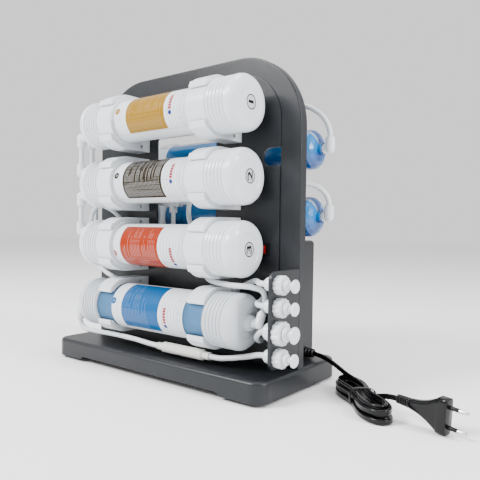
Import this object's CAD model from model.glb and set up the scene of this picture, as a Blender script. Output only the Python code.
from math import cos, pi, radians, sin

import bpy
from mathutils import Matrix, Vector


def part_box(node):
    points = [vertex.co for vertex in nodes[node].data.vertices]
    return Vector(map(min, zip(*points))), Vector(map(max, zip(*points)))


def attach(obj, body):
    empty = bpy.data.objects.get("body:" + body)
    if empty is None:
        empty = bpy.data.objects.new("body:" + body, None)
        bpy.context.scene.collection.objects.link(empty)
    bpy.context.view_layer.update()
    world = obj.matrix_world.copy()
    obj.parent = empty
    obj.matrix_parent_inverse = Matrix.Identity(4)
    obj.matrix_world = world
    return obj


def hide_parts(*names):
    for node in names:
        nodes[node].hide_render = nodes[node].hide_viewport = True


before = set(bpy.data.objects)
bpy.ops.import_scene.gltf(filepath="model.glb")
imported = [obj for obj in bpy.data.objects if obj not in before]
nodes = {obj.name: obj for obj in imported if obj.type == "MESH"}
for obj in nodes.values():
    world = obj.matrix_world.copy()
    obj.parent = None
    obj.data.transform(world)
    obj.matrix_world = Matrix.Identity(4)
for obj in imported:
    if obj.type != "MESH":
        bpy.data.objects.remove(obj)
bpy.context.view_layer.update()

MM = 0.001
MID = -10.5 * MM                # middle plane of the frame
ROW_Y = -48.4 * MM              # axes of the four front housings, from the top
ROW_Z = [325.6 * MM, 244.0 * MM, 162.5 * MM, 80.9 * MM]
SLEEVE_RADIUS = [27.3, 27.3, 27.3, 29.3]
REAR_Y = 48 * MM                # axes of the two rear housings, from the top
REAR_Z = [282.5 * MM, 201.2 * MM]

# ---------------------------------------------------------------- camera

CAMERA_PLACE = (0.48556, -0.52297, 0.1873)
CAMERA_TURN, CAMERA_DOWN, CAMERA_ROLL = 38.1, 1.38, 0.77

camera_data = bpy.data.cameras.new("camera")
camera_data.lens = 40.24
camera_data.sensor_width = 36
camera = bpy.data.objects.new("camera", camera_data)
bpy.context.scene.collection.objects.link(camera)
camera.location = CAMERA_PLACE
aim = Matrix.Rotation(radians(CAMERA_TURN), 3, "Z") @ Matrix.Rotation(radians(90 - CAMERA_DOWN), 3, "X")
camera.rotation_euler = (aim @ Matrix.Rotation(radians(CAMERA_ROLL), 3, "Z")).to_euler()
bpy.context.scene.camera = camera


# ---------------------------------------------------------------- mesh helpers

def piece(name, verts, faces, material, body="unit", smooth=True, slot=None):
    mesh = bpy.data.meshes.new(name)
    mesh.from_pydata([tuple(v) for v in verts], [], faces)
    mesh.update()
    if smooth:
        mesh.shade_smooth()
    mesh.materials.append(material)
    made = bpy.data.objects.new(name, mesh)
    bpy.context.scene.collection.objects.link(made)
    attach(made, body)
    return made


def rings_to_tube(rings, capped=True):
    """Vertices and faces of a skin over closed rings of equal length."""
    count = len(rings[0])
    verts = [point for ring in rings for point in ring]
    faces = []
    for k in range(len(rings) - 1):
        for j in range(count):
            a, b = k * count + j, k * count + (j + 1) % count
            faces.append((a, b, b + count, a + count))
    if capped:
        faces.append(tuple(reversed(range(count))))
        last = (len(rings) - 1) * count
        faces.append(tuple(last + j for j in range(count)))
    return verts, faces


def frames_along(points, up):
    """A side and an up vector at each point of a path, kept upright."""
    result = []
    for k, point in enumerate(points):
        ahead = (points[min(k + 1, len(points) - 1)] - points[max(k - 1, 0)]).normalized()
        side = ahead.cross(up).normalized()
        result.append((point, side, side.cross(ahead).normalized()))
    return result


# ---------------------------------------------------------------- materials

def new_material(name):
    material = bpy.data.materials.new(name)
    material.use_nodes = True
    tree = material.node_tree
    return material, tree, tree.nodes["Principled BSDF"]


def math_node(tree, operation, a, b=None, c=None, clamp=False):
    node = tree.nodes.new("ShaderNodeMath")
    node.operation = operation
    node.use_clamp = clamp
    for socket, value in zip(node.inputs, (a, b, c)):
        if value is None:
            continue
        if isinstance(value, (int, float)):
            socket.default_value = value
        else:
            tree.links.new(value, socket)
    return node.outputs[0]


def position(tree):
    return tree.nodes.new("ShaderNodeTexCoord").outputs["Object"]


def noise(tree, scale, detail=2.0, vector=None, distortion=0.0):
    node = tree.nodes.new("ShaderNodeTexNoise")
    node.inputs["Scale"].default_value = scale
    node.inputs["Detail"].default_value = detail
    node.inputs["Distortion"].default_value = distortion
    tree.links.new(vector or position(tree), node.inputs["Vector"])
    return node.outputs["Fac"]


def ramp(tree, factor, stops):
    node = tree.nodes.new("ShaderNodeValToRGB")
    node.color_ramp.elements[0].position = stops[0][0]
    node.color_ramp.elements[0].color = (*stops[0][1], 1)
    node.color_ramp.elements[1].position = stops[-1][0]
    node.color_ramp.elements[1].color = (*stops[-1][1], 1)
    for place, color in stops[1:-1]:
        element = node.color_ramp.elements.new(place)
        element.color = (*color, 1)
    tree.links.new(factor, node.inputs[0])
    return node.outputs[0]


def mix(tree, factor, a, b):
    node = tree.nodes.new("ShaderNodeMix")
    node.data_type = "RGBA"
    if isinstance(factor, (int, float)):
        node.inputs[0].default_value = factor
    else:
        tree.links.new(factor, node.inputs[0])
    for socket, value in ((node.inputs[6], a), (node.inputs[7], b)):
        if isinstance(value, tuple):
            socket.default_value = (*value, 1)
        else:
            tree.links.new(value, socket)
    return node.outputs[2]


def bumped(tree, shader, height, strength, distance):
    node = tree.nodes.new("ShaderNodeBump")
    node.inputs["Strength"].default_value = strength
    node.inputs["Distance"].default_value = distance
    tree.links.new(height, node.inputs["Height"])
    tree.links.new(node.outputs[0], shader.inputs["Normal"])


def spread(tree, factor, low, high):
    """The factor stretched from 0..1 to low..high, as a value for roughness."""
    return math_node(tree, "MULTIPLY_ADD", factor, high - low, low)


def plastic(name, color, rough, grain=0.0, grain_size=0.0006, vary=0.06, **settings):
    """Moulded plastic: a faint mottle in colour and gloss, and a fine grain if it is textured."""
    material, tree, shader = new_material(name)
    cloud = noise(tree, 45, 3)
    dark = tuple(c * (1 - vary) for c in color)
    light = tuple(min(1, c * (1 + vary)) for c in color)
    tree.links.new(ramp(tree, cloud, [(0.3, dark), (0.7, light)]), shader.inputs["Base Color"])
    gloss = spread(tree, noise(tree, 160, 2), rough - 0.05, rough + 0.05)
    tree.links.new(gloss, shader.inputs["Roughness"])
    for key, value in settings.items():
        shader.inputs[key.replace("_", " ")].default_value = value
    if grain:
        bumped(tree, shader, noise(tree, 1 / grain_size, 2), grain, 0.0004)
    else:
        bumped(tree, shader, noise(tree, 90, 2), 0.05, 0.0006)
    return material


frame_plastic = plastic(
    "charcoal_plastic", (0.0115, 0.0130, 0.0155), 0.34,
    grain=0.20, vary=0.10, Specular_IOR_Level=0.32,
)
white_plastic = plastic("white_plastic", (0.68, 0.71, 0.74), 0.20, vary=0.015)
tube_plastic = plastic("tube_plastic", (0.66, 0.69, 0.71), 0.32, vary=0.03)
black_plastic = plastic(
    "black_plastic", (0.003, 0.003, 0.0035), 0.32,
    grain=0.15, vary=0.2, Specular_IOR_Level=0.26,
)
cord_plastic = plastic(
    "cord_plastic", (0.0025, 0.0025, 0.0030), 0.22,
    grain=0.05, vary=0.2, Specular_IOR_Level=0.26,
)
rubber = plastic("foot_rubber", (0.015, 0.015, 0.015), 0.75, grain=0.4, vary=0.2)
restrictor_plastic = plastic("restrictor_plastic", (0.62, 0.62, 0.57), 0.28, vary=0.04)
red_plastic = plastic("rocker_plastic", (0.17, 0.004, 0.006), 0.2, vary=0.1)
motor_paint = plastic("motor_paint", (0.03, 0.03, 0.035), 0.4, grain=0.2, vary=0.15)
media = plastic("filter_media", (0.62, 0.61, 0.57), 0.9, grain=0.9, grain_size=0.002, vary=0.1)
carbon = plastic("carbon", (0.02, 0.02, 0.02), 0.85, grain=0.9, grain_size=0.001, vary=0.3)


def metal(name, color, rough):
    material, tree, shader = new_material(name)
    shader.inputs["Metallic"].default_value = 1
    cloud = noise(tree, 300, 3)
    dark = tuple(c * 0.9 for c in color)
    tree.links.new(ramp(tree, cloud, [(0.35, dark), (0.65, color)]), shader.inputs["Base Color"])
    tree.links.new(spread(tree, cloud, rough - 0.05, rough + 0.08), shader.inputs["Roughness"])
    bumped(tree, shader, noise(tree, 900, 2), 0.08, 0.0002)
    return material


steel = metal("screw_steel", (0.55, 0.55, 0.56), 0.3)
nickel = metal("pin_nickel", (0.72, 0.71, 0.68), 0.2)


def clear(name, color, rough, alpha):
    """Tinted plastic that lets part of what is behind it show."""
    material, tree, shader = new_material(name)
    cloud = noise(tree, 60, 2)
    dark = tuple(c * 0.96 for c in color)
    tree.links.new(ramp(tree, cloud, [(0.3, dark), (0.7, color)]), shader.inputs["Base Color"])
    tree.links.new(spread(tree, cloud, rough - 0.02, rough + 0.03), shader.inputs["Roughness"])
    shader.inputs["IOR"].default_value = 1.2
    shader.inputs["Specular IOR Level"].default_value = 0.4
    shader.inputs["Alpha"].default_value = alpha
    bumped(tree, shader, noise(tree, 120, 2), 0.05, 0.0006)
    return material


clear_plastic = clear("clear_plastic", (0.10, 0.24, 0.42), 0.06, alpha=0.42)
frosted_plastic = clear("frosted_plastic", (0.62, 0.66, 0.70), 0.24, alpha=0.86)


def film(name, color, shine, crinkle):
    """Printed or shrunk film over a housing: glossy, with soft wrinkles."""
    material, tree, shader = new_material(name)
    cloud = noise(tree, 25, 3, distortion=0.6)
    dark = tuple(c * 0.75 for c in color)
    light = tuple(min(1, c * 1.2 + 0.01) for c in color)
    tree.links.new(ramp(tree, cloud, [(0.3, dark), (0.7, light)]), shader.inputs["Base Color"])
    shader.inputs["Roughness"].default_value = shine
    shader.inputs["Coat Weight"].default_value = 0.6
    shader.inputs["Coat Roughness"].default_value = 0.06
    bumped(tree, shader, noise(tree, 70, 3, distortion=1.2), crinkle, 0.002)
    return material


def rear_film(name, row):
    """The film round a rear housing: bright blue, with a pale band along the front and creases."""
    material, tree, shader = new_material(name)
    split = tree.nodes.new("ShaderNodeSeparateXYZ")
    tree.links.new(position(tree), split.inputs[0])
    front = math_node(tree, "MULTIPLY_ADD", split.outputs[1], -1, REAR_Y)
    up = math_node(tree, "ADD", split.outputs[2], -REAR_Z[row])
    turn = math_node(tree, "MULTIPLY_ADD", math_node(tree, "ARCTAN2", up, front), 1 / (2 * pi), 0.5)
    crease = noise(tree, 34, 3, distortion=1.4)
    place = math_node(tree, "ADD", turn, math_node(tree, "MULTIPLY_ADD", crease, 0.024, -0.012))
    color = ramp(tree, place, [
        (0.0, (0.0, 0.10, 0.34)), (0.30, (0.0, 0.045, 0.20)), (0.42, (0.0, 0.10, 0.34)),
        (0.50, (0.002, 0.17, 0.46)), (0.645, (0.002, 0.17, 0.46)), (0.652, (0.34, 0.35, 0.36)),
        (0.672, (0.32, 0.33, 0.34)), (0.68, (0.0, 0.07, 0.30)), (1.0, (0.0, 0.10, 0.36)),
    ])
    streak = math_node(tree, "MULTIPLY_ADD", crease, 14, -9.1, clamp=True)
    color = mix(tree, math_node(tree, "MULTIPLY", streak, 0.55), color, (0.35, 0.50, 0.60))
    tree.links.new(color, shader.inputs["Base Color"])
    shader.inputs["Roughness"].default_value = 0.2
    shader.inputs["Coat Weight"].default_value = 0.4
    shader.inputs["Coat Roughness"].default_value = 0.05
    bumped(tree, shader, crease, 0.5, 0.002)
    return material


blue_film_1 = rear_film("blue_film_1", 0)
blue_film_2 = rear_film("blue_film_2", 1)
membrane_film = film("membrane_film", (0.004, 0.10, 0.34), 0.35, 0.15)


PHASE = 50.0  # keeps a repeated pattern's phase above zero


def label(name, row, block, emblem_at, zones, dash, line_strength, spread_up=0.75):
    """A printed sleeve: a coloured block of fine dashed rows between white bands, a ring emblem
    at the left, and a plain bar with a dot and grey pinstripes at the right."""
    material, tree, shader = new_material(name)
    split = tree.nodes.new("ShaderNodeSeparateXYZ")
    tree.links.new(position(tree), split.inputs[0])
    radius = SLEEVE_RADIUS[row]
    x = math_node(tree, "MULTIPLY_ADD", split.outputs[0], 1000, -MID / MM)
    front = math_node(tree, "MULTIPLY_ADD", split.outputs[1], -1000, ROW_Y / MM)
    up = math_node(tree, "MULTIPLY_ADD", split.outputs[2], 1000, -ROW_Z[row] / MM)
    turn = math_node(tree, "ARCTAN2", up, front)
    around = math_node(tree, "MULTIPLY", turn, radius)

    def between(value, low, high, soft=0.25):
        rise = math_node(tree, "MULTIPLY_ADD", value, 1 / soft, -low / soft + 0.5, clamp=True)
        fall = math_node(tree, "MULTIPLY_ADD", value, -1 / soft, high / soft + 0.5, clamp=True)
        return math_node(tree, "MULTIPLY", rise, fall)

    def both(a, b):
        return math_node(tree, "MULTIPLY", a, b)

    def rows(pitch, share):
        phase = math_node(tree, "FRACT", math_node(tree, "MULTIPLY_ADD", x, 1 / pitch, PHASE))
        return between(phase, 0.5 - share / 2, 0.5 + share / 2, 0.12)

    def patches(along, across, level, seed):
        joined = tree.nodes.new("ShaderNodeCombineXYZ")
        tree.links.new(math_node(tree, "MULTIPLY", x, across), joined.inputs[0])
        tree.links.new(math_node(tree, "MULTIPLY", around, along), joined.inputs[1])
        joined.inputs[2].default_value = seed
        return math_node(tree, "GREATER_THAN", noise(tree, 1.0, 1, joined.outputs[0]), level)

    low, high = zones["around"]
    reach = between(around, low, high)
    block_zone = both(between(x, *zones["block"]), reach)
    text_zone = between(x, zones["block"][0] + 2.5, zones["text_end"])
    inner = both(text_zone, between(around, low + 3, high - 3))
    number = math_node(tree, "FLOOR", math_node(tree, "MULTIPLY_ADD", x, 1 / dash, PHASE))
    chance = tree.nodes.new("ShaderNodeTexWhiteNoise")
    chance.noise_dimensions = "1D"
    tree.links.new(math_node(tree, "ADD", number, row * 17.0), chance.inputs["W"])
    tall = high - low
    top = math_node(tree, "MULTIPLY_ADD", chance.outputs["Value"], tall * spread_up, low + tall * 0.30)
    under = math_node(tree, "LESS_THAN", around, top)
    words = both(both(rows(dash, 0.38), patches(1.0, 0.01, 0.40, row + 1.5)), both(inner, under))
    color = mix(tree, block_zone, (0.66, 0.69, 0.72), block)
    lines = tuple(c + 0.34 * line_strength for c in block)
    color = mix(tree, math_node(tree, "MULTIPLY", words, 0.8), color, lines)

    ex, ey = emblem_at
    dx = math_node(tree, "ADD", x, -ex)
    dy = math_node(tree, "ADD", around, -ey * radius * pi / 180)
    far = math_node(tree, "SQRT", math_node(tree, "ADD", both(dx, dx), both(dy, dy)))
    color = mix(tree, between(far, 1.2, 4.3), color, block)
    color = mix(tree, between(far, -1, 0.8), color, block)
    small = both(both(rows(1.6, 0.35), patches(1.1, 1.5, 0.45, row + 3.5)), between(x, -55, -51))
    color = mix(tree, both(both(small, between(around, -14, 9)), 0.5), color, (0.25, 0.26, 0.28))

    mx, my = zones["mark"]
    bar = both(between(x, mx - 2.3, mx + 2.3), between(around, my + 4, my + 23))
    gaps = math_node(tree, "FRACT", math_node(tree, "MULTIPLY_ADD", around, 1 / 3.4, PHASE))
    color = mix(tree, both(bar, between(gaps, 0.0, 0.86, 0.1)), color, (0.30, 0.0, 0.015))
    ox = math_node(tree, "ADD", x, -mx)
    oy = math_node(tree, "ADD", around, -my)
    spot = math_node(tree, "SQRT", math_node(tree, "ADD", both(ox, ox), both(oy, oy)))
    color = mix(tree, between(spot, -1, 2.7), color, (0.012, 0.02, 0.17))
    thin = both(rows(5.2, 0.12), both(between(x, zones["block"][1] + 2, 60), reach))
    color = mix(tree, both(thin, 0.7), color, (0.10, 0.10, 0.11))
    cross = both(between(around, my + 2.6, my + 3.1), between(x, zones["block"][1] + 1, mx - 2.5))
    color = mix(tree, both(cross, 0.6), color, (0.08, 0.08, 0.09))
    grey = both(both(rows(1.5, 0.45), patches(0.8, 0.7, 0.5, row + 11.5)), between(x, 51, 60))
    color = mix(tree, both(both(grey, reach), 0.7), color, (0.28, 0.29, 0.31))
    low_edge = between(around, low - 1.4, low - 0.9, 0.3)
    edge = math_node(tree, "ADD", low_edge, between(around, high + 0.9, high + 1.4, 0.3))
    color = mix(tree, both(edge, 0.8), color, (0.24, 0.24, 0.24))

    on_disc = between(x, 130, 160)
    yy = math_node(tree, "SQRT", math_node(tree, "ADD", both(front, front), both(up, up)))
    disc_ring = between(yy, 7.3, 8.4, 0.2)
    disc = mix(tree, disc_ring, (0.50, 0.52, 0.54), (0.010, 0.010, 0.012))
    color = mix(tree, on_disc, color, disc)
    tree.links.new(color, shader.inputs["Base Color"])
    shader.inputs["Roughness"].default_value = 0.26
    shader.inputs["Specular IOR Level"].default_value = 0.18
    shader.inputs["Coat Weight"].default_value = 0.05
    shader.inputs["Coat Roughness"].default_value = 0.08
    bumped(tree, shader, noise(tree, 55, 3, distortion=0.5), 0.10, 0.001)
    return material


label_1 = label(
    "label_1", 0, (0.26, 0.135, 0.0), (-59, 18),
    {"block": (-42, 27), "text_end": 22, "around": (-23, 38), "mark": (37, -4)}, 2.7, 0.20,
)
label_2 = label(
    "label_2", 1, (0.017, 0.011, 0.003), (-59.5, 16),
    {"block": (-47, 24), "text_end": 20, "around": (-25, 40), "mark": (40, -4)}, 2.3, 0.80, 0.9,
)
label_3 = label(
    "label_3", 2, (0.27, 0.020, 0.0), (-64, -24),
    {"block": (-51, 18), "text_end": 14, "around": (-44, 28), "mark": (40, -24)}, 2.7, 0.34,
)
label_4 = label(
    "label_4", 3, (0.0, 0.075, 0.23), (-61, 18),
    {"block": (-45, 22), "text_end": 2, "around": (-26, 44), "mark": (33, -14)}, 2.7, 0.22,
)

# ---------------------------------------------------------------- materials on the CAD nodes

finish = {
    frame_plastic: ["base_tray", "frame_arch", "inner_panel", "rear_box", "rear_cover", "port_bracket"],
    rubber: ["base_feet"],
    steel: ["screws", "pump_rotor"],
    white_plastic: ["front_clips", "port_fittings", "port_nuts", "rear_clips", "elbow_fittings"],
    tube_plastic: ["front_tubes", "rear_tubes"],
    label_1: ["cartridge_1_label"],
    label_2: ["cartridge_2_label"],
    label_3: ["cartridge_3_label"],
    label_4: ["membrane_label"],
    media: ["cartridge_1_element"],
    carbon: ["cartridge_2_element", "cartridge_3_element", "rear_filter_elements"],
    clear_plastic: ["membrane_tube"],
    frosted_plastic: ["membrane_left_cap", "membrane_right_cap"],
    membrane_film: ["membrane_element"],
    blue_film_1: ["rear_filter_1"],
    blue_film_2: ["rear_filter_2"],
    restrictor_plastic: ["flow_restrictor"],
    black_plastic: ["switch_body", "pump_head", "power_adapter", "cord_gland"],
    red_plastic: ["switch_rocker"],
    motor_paint: ["pump_motor"],
    cord_plastic: ["cord_feed", "cord_hank", "cord_tail", "cord_tie", "plug_body"],
    nickel: ["plug_pins"],
}
for number in (1, 2, 3):
    for part in ("tube", "port_cap", "end_cap"):
        finish[white_plastic].append(f"cartridge_{number}_{part}")
for name in ("pure", "tank", "inlet", "drain"):
    finish[white_plastic] += [f"{name}_port_collet", f"{name}_port_plug"]
for material, names in finish.items():
    for name in names:
        nodes[name].data.materials.clear()
        nodes[name].data.materials.append(material)

# the numerals on the end discs of cartridges 1 to 3, turned so that they read from the side
NUMERAL_SIZE = 12.5 * MM
NUMERAL_STRETCH = 1.9
NUMERAL_LIFT = 0.12 * MM
for number in (1, 2, 3):
    text = bpy.data.curves.new(f"numeral_curve_{number}", "FONT")
    text.body = str(number)
    text.size = NUMERAL_SIZE
    text.align_x = "CENTER"
    text.align_y = "CENTER"
    text.offset = 0.22 * MM
    text.extrude = 0.08 * MM
    holder = bpy.data.objects.new("holder", text)
    mesh = bpy.data.meshes.new_from_object(holder)
    bpy.data.objects.remove(holder)
    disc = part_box(f"cartridge_{number}_label")[1][0]
    stand = Matrix(((0, 0, 1), (0, -1, 0), (1, 0, 0)))
    middle = Vector((disc + NUMERAL_LIFT, ROW_Y, ROW_Z[number - 1]))
    for vertex in mesh.vertices:
        wide = Vector((vertex.co.x * NUMERAL_STRETCH, vertex.co.y, vertex.co.z))
        vertex.co = stand @ wide + middle
    mesh.materials.append(black_plastic)
    numeral = bpy.data.objects.new(f"numeral_{number}", mesh)
    bpy.context.scene.collection.objects.link(numeral)
    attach(numeral, "unit")

# ---------------------------------------------------------------- mains cord

HANK = Vector((MID + 253 * MM, 0, 0))
ALONG = Vector((0.6, -0.8, 0))
ACROSS = Vector((0.8, 0.6, 0))
SKEW = 0.15                     # how far the hank leans sideways along its length

route = [Vector((MID + x * MM, y * MM, z * MM)) for x, y, z in (
    (167, 46, 34.6), (178, 45.4, 33.2), (190, 44.4, 29.4), (202, 43, 24), (214, 40, 18.5),
)]


def in_hank(along, across, high):
    flat = HANK + ALONG * along * MM + ACROSS * (across + SKEW * along) * MM
    return flat + Vector((0, 0, high * MM))


# Each turn: strand's distance from the middle at the tie, height, half length, half width.
turns = [
    (3.4, 15.8, 51.0, 12.5),
    (7.8, 15.0, 58.0, 18.5),
    (9.0, 9.6, 62.0, 20.5),
    (3.6, 10.2, 53.0, 12.5),
    (5.6, 3.6, 58.5, 17.0),
    (9.8, 3.4, 61.5, 20.0),
]
STEPS = 14                      # points in one turn
FIRST_TURN = 0.18               # where in a turn the cord enters the hank
for k in range(STEPS * len(turns)):
    turn = k / STEPS + FIRST_TURN
    first = min(int(turn), len(turns) - 2)
    share = min(turn - first, 1.0)
    near, high, half, wide = (a + (b - a) * share for a, b in zip(turns[first], turns[first + 1]))
    theta = pi - 2 * pi * turn
    lobe = abs(cos(theta)) ** 1.3
    across = sin(theta) * (near + (wide - near) * min(1.0, 2.1 * lobe * (1.15 - lobe * 0.55)))
    along = half * (0.93 if cos(theta) > 0 else -1) * abs(cos(theta)) ** 0.8
    droop = 1.2 * lobe * sin(3.1 * k + first) * (0.4 if high < 5 else 1)
    route.append(in_hank(along, across, max(3.2, high + droop)))
route += [in_hank(-30, 17.0, 5.5), in_hank(-14, 14.8, 9.5), in_hank(6, 11.6, 13.0)]
route += [Vector((MID + x * MM, y * MM, z * MM)) for x, y, z in (
    (275, -5.5, 16.6), (286.5, -11.6, 20.6), (299.0, -14.9, 21.2),
)]

guide_data = bpy.data.curves.new("guide", "CURVE")
guide_data.dimensions = "3D"
spline = guide_data.splines.new("NURBS")
spline.points.add(len(route) - 1)
for point, place in zip(spline.points, route):
    point.co = (*place, 1)
spline.order_u = 3
spline.use_endpoint_u = True
spline.resolution_u = 6
guide = bpy.data.objects.new("guide", guide_data)
line = bpy.data.meshes.new_from_object(guide)
path = [v.co.copy() for v in line.vertices]
bpy.data.objects.remove(guide)

core = 1.42 * MM
profile = []
for side in (-1, 1):
    for j in range(9):
        turn = radians(-128 + 32 * j)
        profile.append((side * (core * 0.97 + core * cos(turn)), side * core * sin(turn)))
rings = []
for place, side, up in frames_along(path, Vector((0, 0, 1))):
    rings.append([place + up * a + side * b for a, b in profile])
verts, faces = rings_to_tube(rings)
cord = piece("mains_cord", verts, faces, cord_plastic, slot="cord_black")
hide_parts("cord_feed", "cord_hank", "cord_tail")

# the tie: a flat band round the waist
TIE_POINTS = 48
TIE_MIDDLE = 10
TIE_RINGS = ((-2.6, 1.0), (-2.2, 1.03), (2.2, 1.03), (2.6, 1.0), (2.2, 0.96), (-2.2, 0.96))
band = []
for k in range(TIE_POINTS):
    turn = 2 * pi * k / TIE_POINTS
    a = (abs(cos(turn)) ** 0.6) * (1 if cos(turn) > 0 else -1) * 13.6
    b = TIE_MIDDLE + (abs(sin(turn)) ** 0.6) * (1 if sin(turn) > 0 else -1) * 9.6
    band.append((a, b))
verts, faces = [], []
for along, scale in TIE_RINGS:
    verts += [in_hank(along, a * scale, TIE_MIDDLE + (b - TIE_MIDDLE) * scale) for a, b in band]
for ring in range(len(TIE_RINGS)):
    start = ring * TIE_POINTS
    after = (ring + 1) % len(TIE_RINGS) * TIE_POINTS
    for k in range(TIE_POINTS):
        beside = (k + 1) % TIE_POINTS
        faces.append((start + k, start + beside, after + beside, after + k))
tie = piece("tie_band", verts, faces, black_plastic, slot="cord_black")
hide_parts("cord_tie")

# the plug: a ribbed strain relief that swells into a flat two-pin body
PLUG_WAY = Vector((0.9750, -0.2100, -0.0700)).normalized()
PLUG_FACE = Vector((MID + 349.3 * MM, -25.7 * MM, 17.4 * MM))
PLUG_SIDE = PLUG_WAY.cross(Vector((0, 0, 1))).normalized()
PLUG_UP = PLUG_SIDE.cross(PLUG_WAY)
PLUG_LENGTH = 54
PLUG_POINTS = 40
PIN_POINTS = 24
PIN_OFFSET = 9.3                # each pin's axis from the middle of the plug
plug_tail = PLUG_FACE - PLUG_WAY * PLUG_LENGTH * MM


def plug_ring(along, tall, thick, square):
    ring = []
    for j in range(PLUG_POINTS):
        turn = 2 * pi * j / PLUG_POINTS
        c, s = cos(turn), sin(turn)
        a = tall * (1 if c > 0 else -1) * abs(c) ** (2 / square)
        b = thick * (1 if s > 0 else -1) * abs(s) ** (2 / square)
        ring.append(plug_tail + PLUG_WAY * along * MM + PLUG_UP * a * MM + PLUG_SIDE * b * MM)
    return ring


stations = [(0.0, 3.2, 3.0, 2), (0.3, 4.2, 3.9, 2)]
for rib in range(5):
    base = 0.6 + rib * 2.8
    size = 4.5 + 0.12 * rib
    stations += [(base, size, size - 0.3, 2), (base + 1.4, size, size - 0.3, 2)]
    stations += [(base + 1.5, size - 1.5, size - 1.6, 2), (base + 2.7, size - 1.5, size - 1.6, 2)]
stations += [
    (14.8, 5.1, 4.6, 2.2), (17, 5.4, 4.8, 2.5), (21, 5.9, 5.0, 3), (25, 6.8, 5.3, 3.4),
    (29, 8.0, 5.6, 3.8), (33, 9.6, 5.8, 4), (37, 11.6, 6.0, 4.4), (40.5, 13.8, 6.1, 4.8),
    (43, 15.3, 6.2, 5), (44.2, 15.9, 6.3, 5.5), (44.6, 16.9, 6.45, 6), (53.2, 17.0, 6.45, 6),
    (53.8, 16.7, 6.2, 6), (PLUG_LENGTH, 16.2, 5.8, 6),
]
verts, faces = rings_to_tube([plug_ring(*station) for station in stations])
plug = piece("plug_shell", verts, faces, cord_plastic, slot="cord_black")
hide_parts("plug_body")


def pin_ring(root, along, radius):
    ring = []
    spot = root + PLUG_WAY * along * MM
    for j in range(PIN_POINTS):
        turn = 2 * pi * j / PIN_POINTS
        ring.append(spot + PLUG_UP * radius * MM * cos(turn) + PLUG_SIDE * radius * MM * sin(turn))
    return ring


pins, sleeves = ([], []), ([], [])
for up in (-1, 1):
    root = PLUG_FACE + PLUG_UP * up * PIN_OFFSET * MM
    for store, shape in (
        (pins, ((8, 1.9), (9.8, 2.0), (17.4, 2.0), (18.6, 1.5), (19, 0.8))),
        (sleeves, ((-1, 2.0), (0, 2.0), (9.4, 1.95), (9.9, 1.7), (10, 1.5))),
    ):
        pin_rings = [pin_ring(root, along, radius) for along, radius in shape]
        new_verts, new_faces = rings_to_tube(pin_rings)
        start = len(store[0])
        store[0].extend(new_verts)
        store[1].extend(tuple(start + j for j in face) for face in new_faces)
pin_tips = piece("pin_tips", *pins, nickel, slot="pin_nickel")
pin_sleeves = piece("pin_sleeves", *sleeves, black_plastic, slot="cord_black")
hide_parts("plug_pins")

# ---------------------------------------------------------------- floor and light

FLOOR = 6                       # half of the floor's width, in metres
WORLD_STRENGTH = 1.15

floor_mesh = bpy.data.meshes.new("floor")
corners = [(-FLOOR, -FLOOR, 0), (FLOOR, -FLOOR, 0), (FLOOR, FLOOR, 0), (-FLOOR, FLOOR, 0)]
floor_mesh.from_pydata(corners, [], [(0, 1, 2, 3)])
floor = bpy.data.objects.new("floor", floor_mesh)
bpy.context.scene.collection.objects.link(floor)
floor_material, tree, shader = new_material("floor")
shader.inputs["Base Color"].default_value = (0.93, 0.93, 0.93, 1)
shader.inputs["Roughness"].default_value = 0.7
floor_mesh.materials.append(floor_material)

world = bpy.data.worlds.new("world")
bpy.context.scene.world = world
world.use_nodes = True
world.node_tree.nodes["Background"].inputs[0].default_value = (1.0, 1.0, 1.0, 1)
world.node_tree.nodes["Background"].inputs[1].default_value = WORLD_STRENGTH


def area_light(name, place, target, size, power):
    data = bpy.data.lights.new(name, "AREA")
    data.shape = "RECTANGLE"
    data.size, data.size_y = size
    data.energy = power
    lamp = bpy.data.objects.new(name, data)
    lamp.location = place
    lamp.rotation_euler = (Vector(target) - Vector(place)).to_track_quat("-Z", "Y").to_euler()
    bpy.context.scene.collection.objects.link(lamp)


area_light("key", (-0.9, -1.5, 1.5), (0, 0, 0.2), (0.7, 0.7), 85)
area_light("side", (1.6, 0.1, 1.0), (0, 0, 0.2), (0.3, 1.2), 34)
area_light("top", (0.1, 0.0, 1.8), (0, 0, 0.2), (1.0, 0.6), 14)
